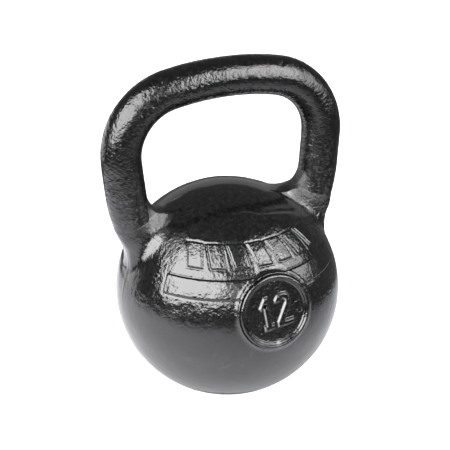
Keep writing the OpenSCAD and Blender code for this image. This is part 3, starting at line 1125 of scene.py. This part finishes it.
def flat_ring(name, centre, radius, inner_radius, z, material, segments=96):
    """A flat ring. Its hole is round the origin."""
    circle = unit_circle(2 * math.pi * np.arange(segments) / segments)
    places = np.concatenate([inner_radius * circle, np.array(centre) + radius * circle])
    points = np.concatenate([places, np.full((2 * segments, 1), z)], axis=1)
    made = make_object(name, points, band_quads(0, segments)[:, [0, 3, 2, 1]], smooth=False)
    give_material(made, material)
    return made


def hide_from_light(item):
    """The item shows to the camera only: it lights nothing and reflects in nothing."""
    item.visible_diffuse = False
    item.visible_glossy = False
    item.visible_transmission = False
    item.visible_shadow = False


# The table shows only in reflections. Its hole round the ball's foot shows the dim world there, as painted
# contact shade.
table = flat_ring("table", TABLE_CENTRE, TABLE_R, CONTACT_R, 0.0, painted_light_table_material("table_with_painted_light"))
table.visible_camera = False
table.visible_shadow = False
far_floor = flat_ring("floor", (0.0, 0.0), FLOOR_R, 0.0, FLOOR_Z, glowing_floor("pale_floor"))
far_floor.visible_glossy = False


def backdrop():
    """A pale dome far behind everything."""
    rows = 12
    around = 48
    low, high = math.radians(-4), math.radians(89.5)
    points = []
    for latitude in np.linspace(low, high, rows):
        for index in range(around):
            points.append(DOME_R * direction(2 * math.pi * index / around, latitude))
    last = (rows - 1) * around
    faces = []
    for start in range(0, last, around):
        faces += list(band_quads(start, around)[:, [0, 3, 2, 1]])
    faces.append(last + np.arange(around))
    made = make_object("backdrop", np.array(points), faces)
    give_material(made, stage_material("pale_backdrop", 1.0))
    hide_from_light(made)


backdrop()

WORLD_STRENGTH = 0.16
world = bpy.data.worlds.new("studio")
bpy.context.scene.world = world
world.use_nodes = True
world.node_tree.nodes["Background"].inputs["Color"].default_value = (1.0, 1.0, 1.0, 1.0)
world.node_tree.nodes["Background"].inputs["Strength"].default_value = WORLD_STRENGTH


def softbox(name, azimuth, elevation, wide, high, radiance, roll=0.0, distance=1.3):
    """A soft panel that faces the ball. Its angles are as seen from the ball's centre, in degrees."""
    data = bpy.data.lights.new(name, "AREA")
    data.shape = "RECTANGLE"
    data.size = 2 * distance * math.tan(math.radians(wide / 2))
    data.size_y = 2 * distance * math.tan(math.radians(high / 2))
    data.energy = radiance * math.pi * data.size * data.size_y
    light = bpy.data.objects.new(name, data)
    out = Vector(direction(math.radians(azimuth), math.radians(elevation)))
    light.location = Vector(BALL_CENTRE) + out * distance
    light.rotation_mode = "QUATERNION"
    light.rotation_quaternion = (-out).to_track_quat("-Z", "Y") @ Quaternion((0, 0, 1), math.radians(roll))
    light.visible_camera = False
    bpy.context.scene.collection.objects.link(light)


# Each panel's azimuth, elevation, width and height, and how bright it is
softbox("softbox_left", -61, 34, 62, 50, 15.0, roll=12)
softbox("softbox_low", -17, 22, 30, 14, 4.0)
softbox("softbox_right", 30, 30, 28, 48, 14.0)
softbox("softbox_side", 59, 28, 30, 40, 6.5)
softbox("softbox_back", 165, 12, 50, 22, 0.3)
softbox("softbox_back_left", -145, -3, 44, 20, 2.4)


def flag_card(name, azimuth, elevation, wide, high, glow, distance=1.2):
    """A dark card that keeps the panels' light out of the gap between them. Only reflections show it."""
    right, up, out = local_axes(math.radians(azimuth), math.radians(elevation))
    half_wide = distance * math.tan(math.radians(wide / 2))
    half_high = distance * math.tan(math.radians(high / 2))
    middle = BALL_CENTRE + out * distance
    corners = [(-1, -1), (1, -1), (1, 1), (-1, 1)]
    points = [middle + a * half_wide * right + b * half_high * up for a, b in corners]
    card = make_object(name, np.array(points), [np.arange(4)], smooth=False)
    give_material(card, stage_material(name + "_cloth", glow))
    card.visible_camera = False
    card.visible_diffuse = False
    card.visible_shadow = False


flag_card("gap_card", -10, 53, 32, 24, 0.6)

# ---------------------------------------------------------------- camera
CAMERA_AZIMUTH = math.radians(-21.7)
CAMERA_ELEVATION = math.radians(29.17)
CAMERA_DISTANCE = 653.8 * MM
CAMERA_LENS = 80.31
SENSOR_WIDTH = 36.0
CAMERA_ROLL = math.radians(-0.989)
TARGET_RIGHT = -0.6 * MM
TARGET_UP = 38.5 * MM


def add_camera():
    right, up, back = local_axes(CAMERA_AZIMUTH, CAMERA_ELEVATION)
    place = BALL_CENTRE + back * CAMERA_DISTANCE
    target = BALL_CENTRE + right * TARGET_RIGHT + up * TARGET_UP
    forward = (target - place) / np.linalg.norm(target - place)
    side = np.cross(forward, up)
    side /= np.linalg.norm(side)
    above = np.cross(side, forward)
    rolled_side = side * math.cos(CAMERA_ROLL) + above * math.sin(CAMERA_ROLL)
    rolled_up = above * math.cos(CAMERA_ROLL) - side * math.sin(CAMERA_ROLL)
    data = bpy.data.cameras.new("camera")
    data.lens = CAMERA_LENS
    data.sensor_width = SENSOR_WIDTH
    camera = bpy.data.objects.new("camera", data)
    rows = [(rolled_side[axis], rolled_up[axis], -forward[axis], place[axis]) for axis in range(3)]
    camera.matrix_world = Matrix(rows + [(0, 0, 0, 1)])
    bpy.context.scene.collection.objects.link(camera)
    bpy.context.scene.camera = camera


add_camera()
bpy.context.scene.view_settings.view_transform = "Standard"
